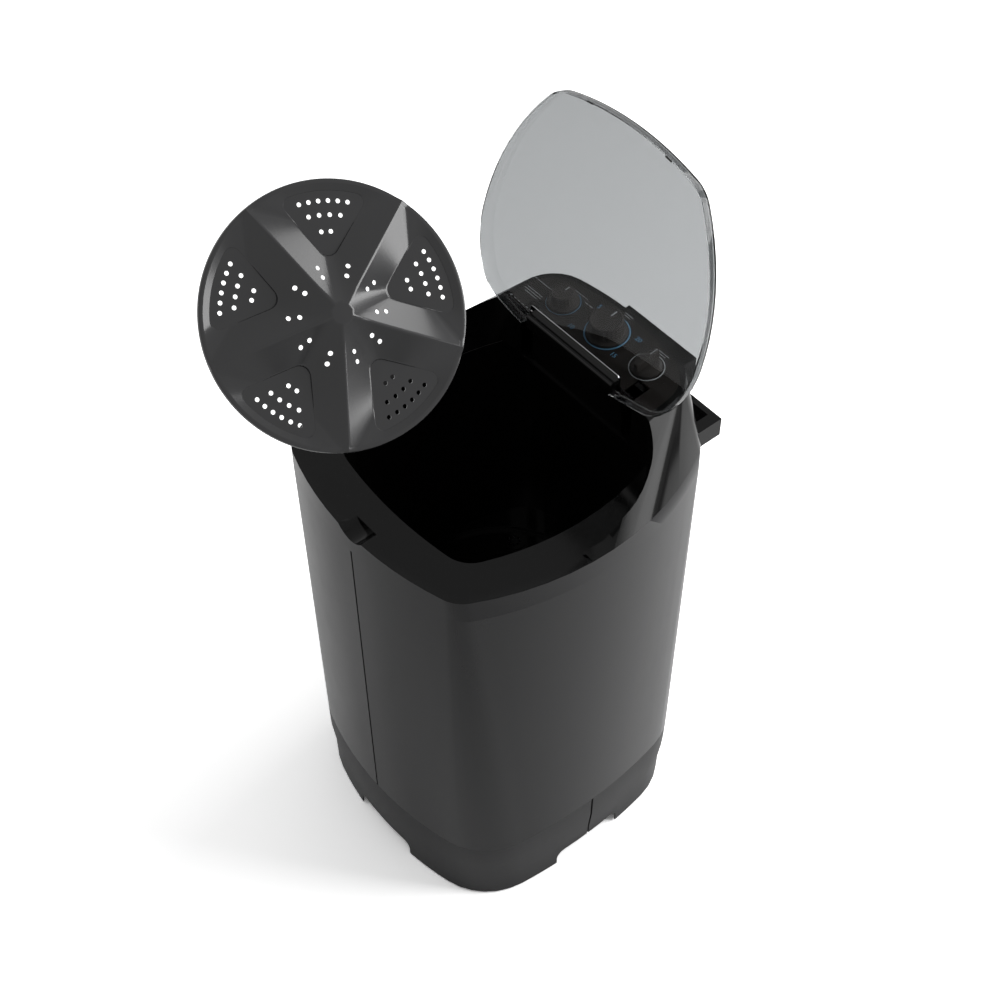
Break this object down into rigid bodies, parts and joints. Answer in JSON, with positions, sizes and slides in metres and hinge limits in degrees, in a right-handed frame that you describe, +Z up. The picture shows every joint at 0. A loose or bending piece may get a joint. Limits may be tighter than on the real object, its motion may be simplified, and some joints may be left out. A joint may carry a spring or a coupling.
{
  "type": "washing machine",
  "caption": "Top-loading semi-automatic washing machine: tapered cabinet, round-cornered tub, raised knob console, hinged smoked lid and a ribbed pulsator disc lifted out.",
  "frame": {"origin": "on the floor, in the middle between the sides, under the body's centre", "axes": "+X to the user's right, +Y to the back, +Z up"},
  "size_m": [0.6, 0.849, 1.5901],
  "materials": {
    "base": "fine-grained dark grey moulding",
    "foot_pads": "black rubber",
    "cabinet": "satin charcoal moulding",
    "deck": "glossy black moulding",
    "wash_tub": "glossy black moulding",
    "tub_gasket": "black rubber",
    "tub_screws": "zinc-plated steel",
    "console_panel": null,
    "dial_rings": "white print",
    "front_bar": "glossy black moulding, bare",
    "hose_holder": "glossy black moulding",
    "hose_clip": "glossy black moulding",
    "rear_handle": "glossy black moulding",
    "service_cover": "dark grey moulding",
    "cover_screws": "zinc-plated steel",
    "cord_gland": "black rubber",
    "lid": "smoked clear plastic, stored as tinted glass",
    "lid_hinge_pins": "bright steel",
    "lid_bumpers": "black rubber",
    "wash_selector_knob": "grey gloss moulding",
    "wash_selector_shaft": "steel",
    "wash_selector_switch": "cream phenolic body",
    "timer_knob": "grey gloss moulding",
    "timer_shaft": "steel",
    "wash_timer": "cream moulded body",
    "drain_knob": "grey gloss moulding",
    "drain_knob_shaft": "steel",
    "drain_selector": "white moulded body",
    "drain_grille": "black moulding",
    "drain_valve": "grey moulding",
    "drain_plug": "black moulding",
    "drain_pipe": "grey moulding",
    "drain_spigot": "dark grey moulding",
    "bearing_plate": "galvanised steel",
    "bearing_housing": "die-cast aluminium",
    "upper_bush": "sintered bronze, stored as brass",
    "lower_bush": "sintered bronze, stored as brass",
    "shaft_seal": "black rubber",
    "drive_shaft": "ground steel",
    "large_pulley": "die-cast aluminium",
    "pulley_nut": "zinc-plated steel",
    "drive_belt": "black rubber",
    "motor": "grey painted steel and aluminium",
    "motor_shaft": "ground steel",
    "motor_pulley": "die-cast aluminium",
    "motor_bracket": "galvanised steel",
    "motor_mounts": "black rubber",
    "motor_bolts": "zinc-plated steel",
    "capacitor": "pale moulded can",
    "capacitor_clip": "spring steel",
    "pulsator_disc": "glossy dark grey moulding",
    "pulsator_insert": "steel"
  },
  "bodies": {
    "chassis": {"base": "base", "foot_pads": "foot_pads", "cabinet": "cabinet", "deck": "deck", "wash_tub": "wash_tub", "tub_gasket": "tub_gasket", "tub_screws": "tub_screws", "console_panel": "console_panel", "dial_rings": "dial_rings", "front_bar": "front_bar", "hose_holder": "hose_holder", "hose_clip": "hose_clip", "rear_handle": "rear_handle", "service_cover": "service_cover", "cover_screws": "cover_screws", "cord_gland": "cord_gland", "lid_hinge_pins": "lid_hinge_pins", "wash_selector_switch": "wash_selector_switch", "wash_timer": "wash_timer", "drain_selector": "drain_selector", "drain_grille": "drain_grille", "drain_valve": "drain_valve", "drain_pipe": "drain_pipe", "drain_spigot": "drain_spigot", "bearing_plate": "bearing_plate", "bearing_housing": "bearing_housing", "upper_bush": "upper_bush", "lower_bush": "lower_bush", "shaft_seal": "shaft_seal", "drive_belt": "drive_belt", "motor": "motor", "motor_bracket": "motor_bracket", "motor_mounts": "motor_mounts", "motor_bolts": "motor_bolts", "capacitor": "capacitor", "capacitor_clip": "capacitor_clip"},
    "lid_assembly": {"lid": "lid", "lid_bumpers": "lid_bumpers"},
    "wash_selector": {"wash_selector_knob": "wash_selector_knob", "wash_selector_shaft": "wash_selector_shaft"},
    "timer": {"timer_knob": "timer_knob", "timer_shaft": "timer_shaft"},
    "drain_control": {"drain_knob": "drain_knob", "drain_knob_shaft": "drain_knob_shaft"},
    "drain_plug_body": {"drain_plug": "drain_plug"},
    "drive": {"drive_shaft": "drive_shaft", "large_pulley": "large_pulley", "pulley_nut": "pulley_nut"},
    "rotor": {"motor_shaft": "motor_shaft", "motor_pulley": "motor_pulley"},
    "pulsator": {"pulsator_disc": "pulsator_disc", "pulsator_insert": "pulsator_insert"}
  },
  "joints": [
    {"name": "lid_hinge", "type": "hinge", "parent": "chassis", "child": "lid_assembly", "pos_m": [0, 0.2, 1.006], "axis": [1, 0, 0], "range_deg": [0, 106]},
    {"name": "wash_selector_turn", "type": "hinge", "parent": "chassis", "child": "wash_selector", "pos_m": [-0.105, 0.24003, 1.05527], "axis": [0, -0.0941, 0.9956], "range_deg": [-90, 0]},
    {"name": "timer_turn", "type": "hinge", "parent": "chassis", "child": "timer", "pos_m": [0, 0.2477, 1.056], "axis": [0, -0.0941, 0.9956], "range_deg": [-330, 0]},
    {"name": "drain_control_turn", "type": "hinge", "parent": "chassis", "child": "drain_control", "pos_m": [0.1045, 0.24352, 1.0556], "axis": [0, -0.0941, 0.9956], "range_deg": [-90, 0]},
    {"name": "drain_plug_turn", "type": "hinge", "parent": "chassis", "child": "drain_plug_body", "pos_m": [-0.115, 0.14, 0.4], "axis": [0, 0, 1], "range_deg": [-90, 0]},
    {"name": "drive_spin", "type": "hinge", "parent": "chassis", "child": "drive", "pos_m": [0, 0.014, 0.4], "axis": [0, 0, 1], "continuous": true},
    {"name": "rotor_spin", "type": "hinge", "parent": "chassis", "child": "rotor", "pos_m": [0.12, -0.111, 0.36], "axis": [0, 0, 1], "continuous": true},
    {"name": "pulsator_spin", "type": "hinge", "parent": "chassis", "child": "pulsator", "pos_m": [0.022, -0.314, 1.451], "axis": [0.6844, -0.1568, 0.712], "continuous": true}
  ],
  "couplings": [
    {"joint": "drain_plug_turn", "follows": "drain_control_turn", "ratio": 1},
    {"joint": "rotor_spin", "follows": "drive_spin", "ratio": 3.2599},
    {"joint": "pulsator_spin", "follows": "drive_spin", "ratio": 1}
  ]
}
